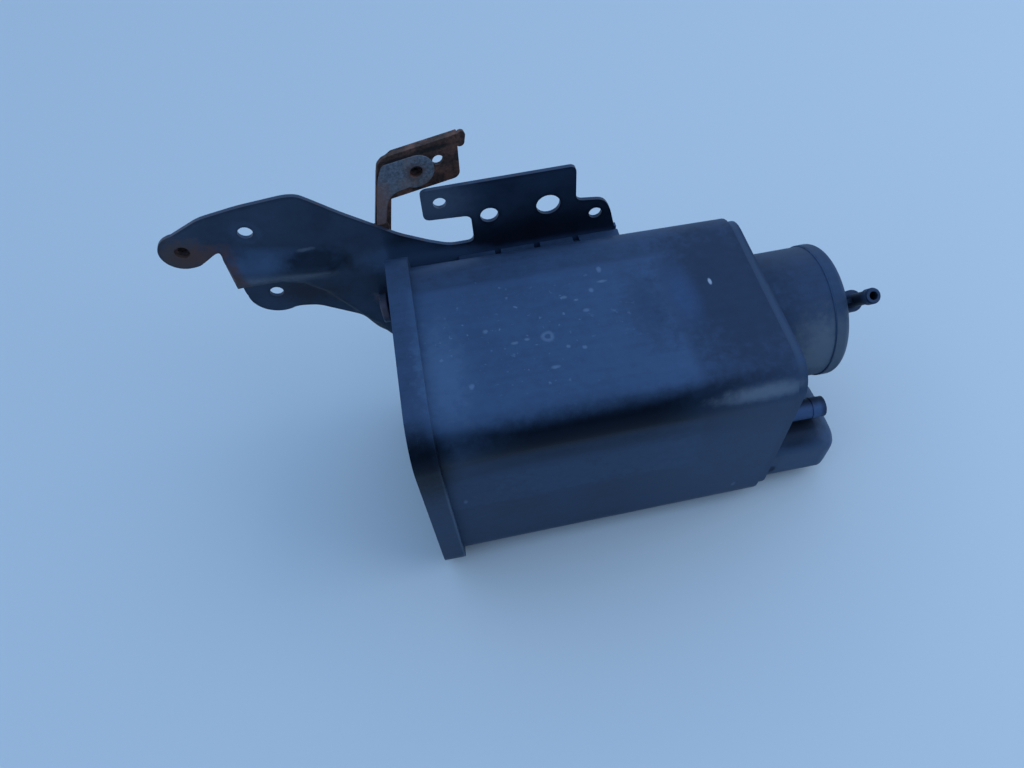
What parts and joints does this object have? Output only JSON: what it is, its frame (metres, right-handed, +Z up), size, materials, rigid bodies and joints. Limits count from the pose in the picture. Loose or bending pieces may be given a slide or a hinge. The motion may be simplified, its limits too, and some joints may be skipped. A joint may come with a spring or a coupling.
{
  "type": "charcoal canister",
  "caption": "Boxy black plastic fuel-vapour canister with a ribbed welded cover, round vent chamber, hose ports and a pressed-steel mounting bracket with a long arm.",
  "frame": {"origin": "middle of the welding flange's lower edge face, on which the canister stands", "axes": "+X along the canister from the welded cover to the hose ports, +Y to the bracket's side, +Z up"},
  "size_m": [0.3274, 0.1385, 0.1783],
  "materials": {
    "moulded_plastic": "black moulded polyamide, dusty and scuffed",
    "cover_plastic": "black moulded polyamide, dusty",
    "cap_plastic": "black moulded polyamide with brownish dust",
    "filter_foam": "grey open-cell foam",
    "activated_carbon": "packed activated carbon pellets",
    "felt": "pressed non-woven felt",
    "grid_plastic": "dark moulded plastic",
    "spring_steel": "drawn spring wire",
    "bracket_paint": "black dip-coated steel, rusty at the tip and edges",
    "rusty_steel": "rusted steel sheet",
    "nut_steel": "rusted steel nut"
  },
  "bodies": {
    "root": {"canister_shell": "moulded_plastic", "end_cover": "cover_plastic", "filter_cap": "cap_plastic", "vent_filter": "filter_foam", "main_carbon_bed": "activated_carbon", "second_carbon_bed": "activated_carbon", "main_port_felt": "felt", "second_port_felt": "felt", "main_cover_felt": "felt", "second_cover_felt": "felt", "main_grid_plate": "grid_plastic", "second_grid_plate": "grid_plastic", "main_spring_left": "spring_steel", "main_spring_right": "spring_steel", "second_spring": "spring_steel", "mounting_bracket": "bracket_paint", "support_tab": "rusty_steel", "arm_weld_nut": "nut_steel", "tab_weld_nut": "nut_steel"}
  },
  "joints": []
}
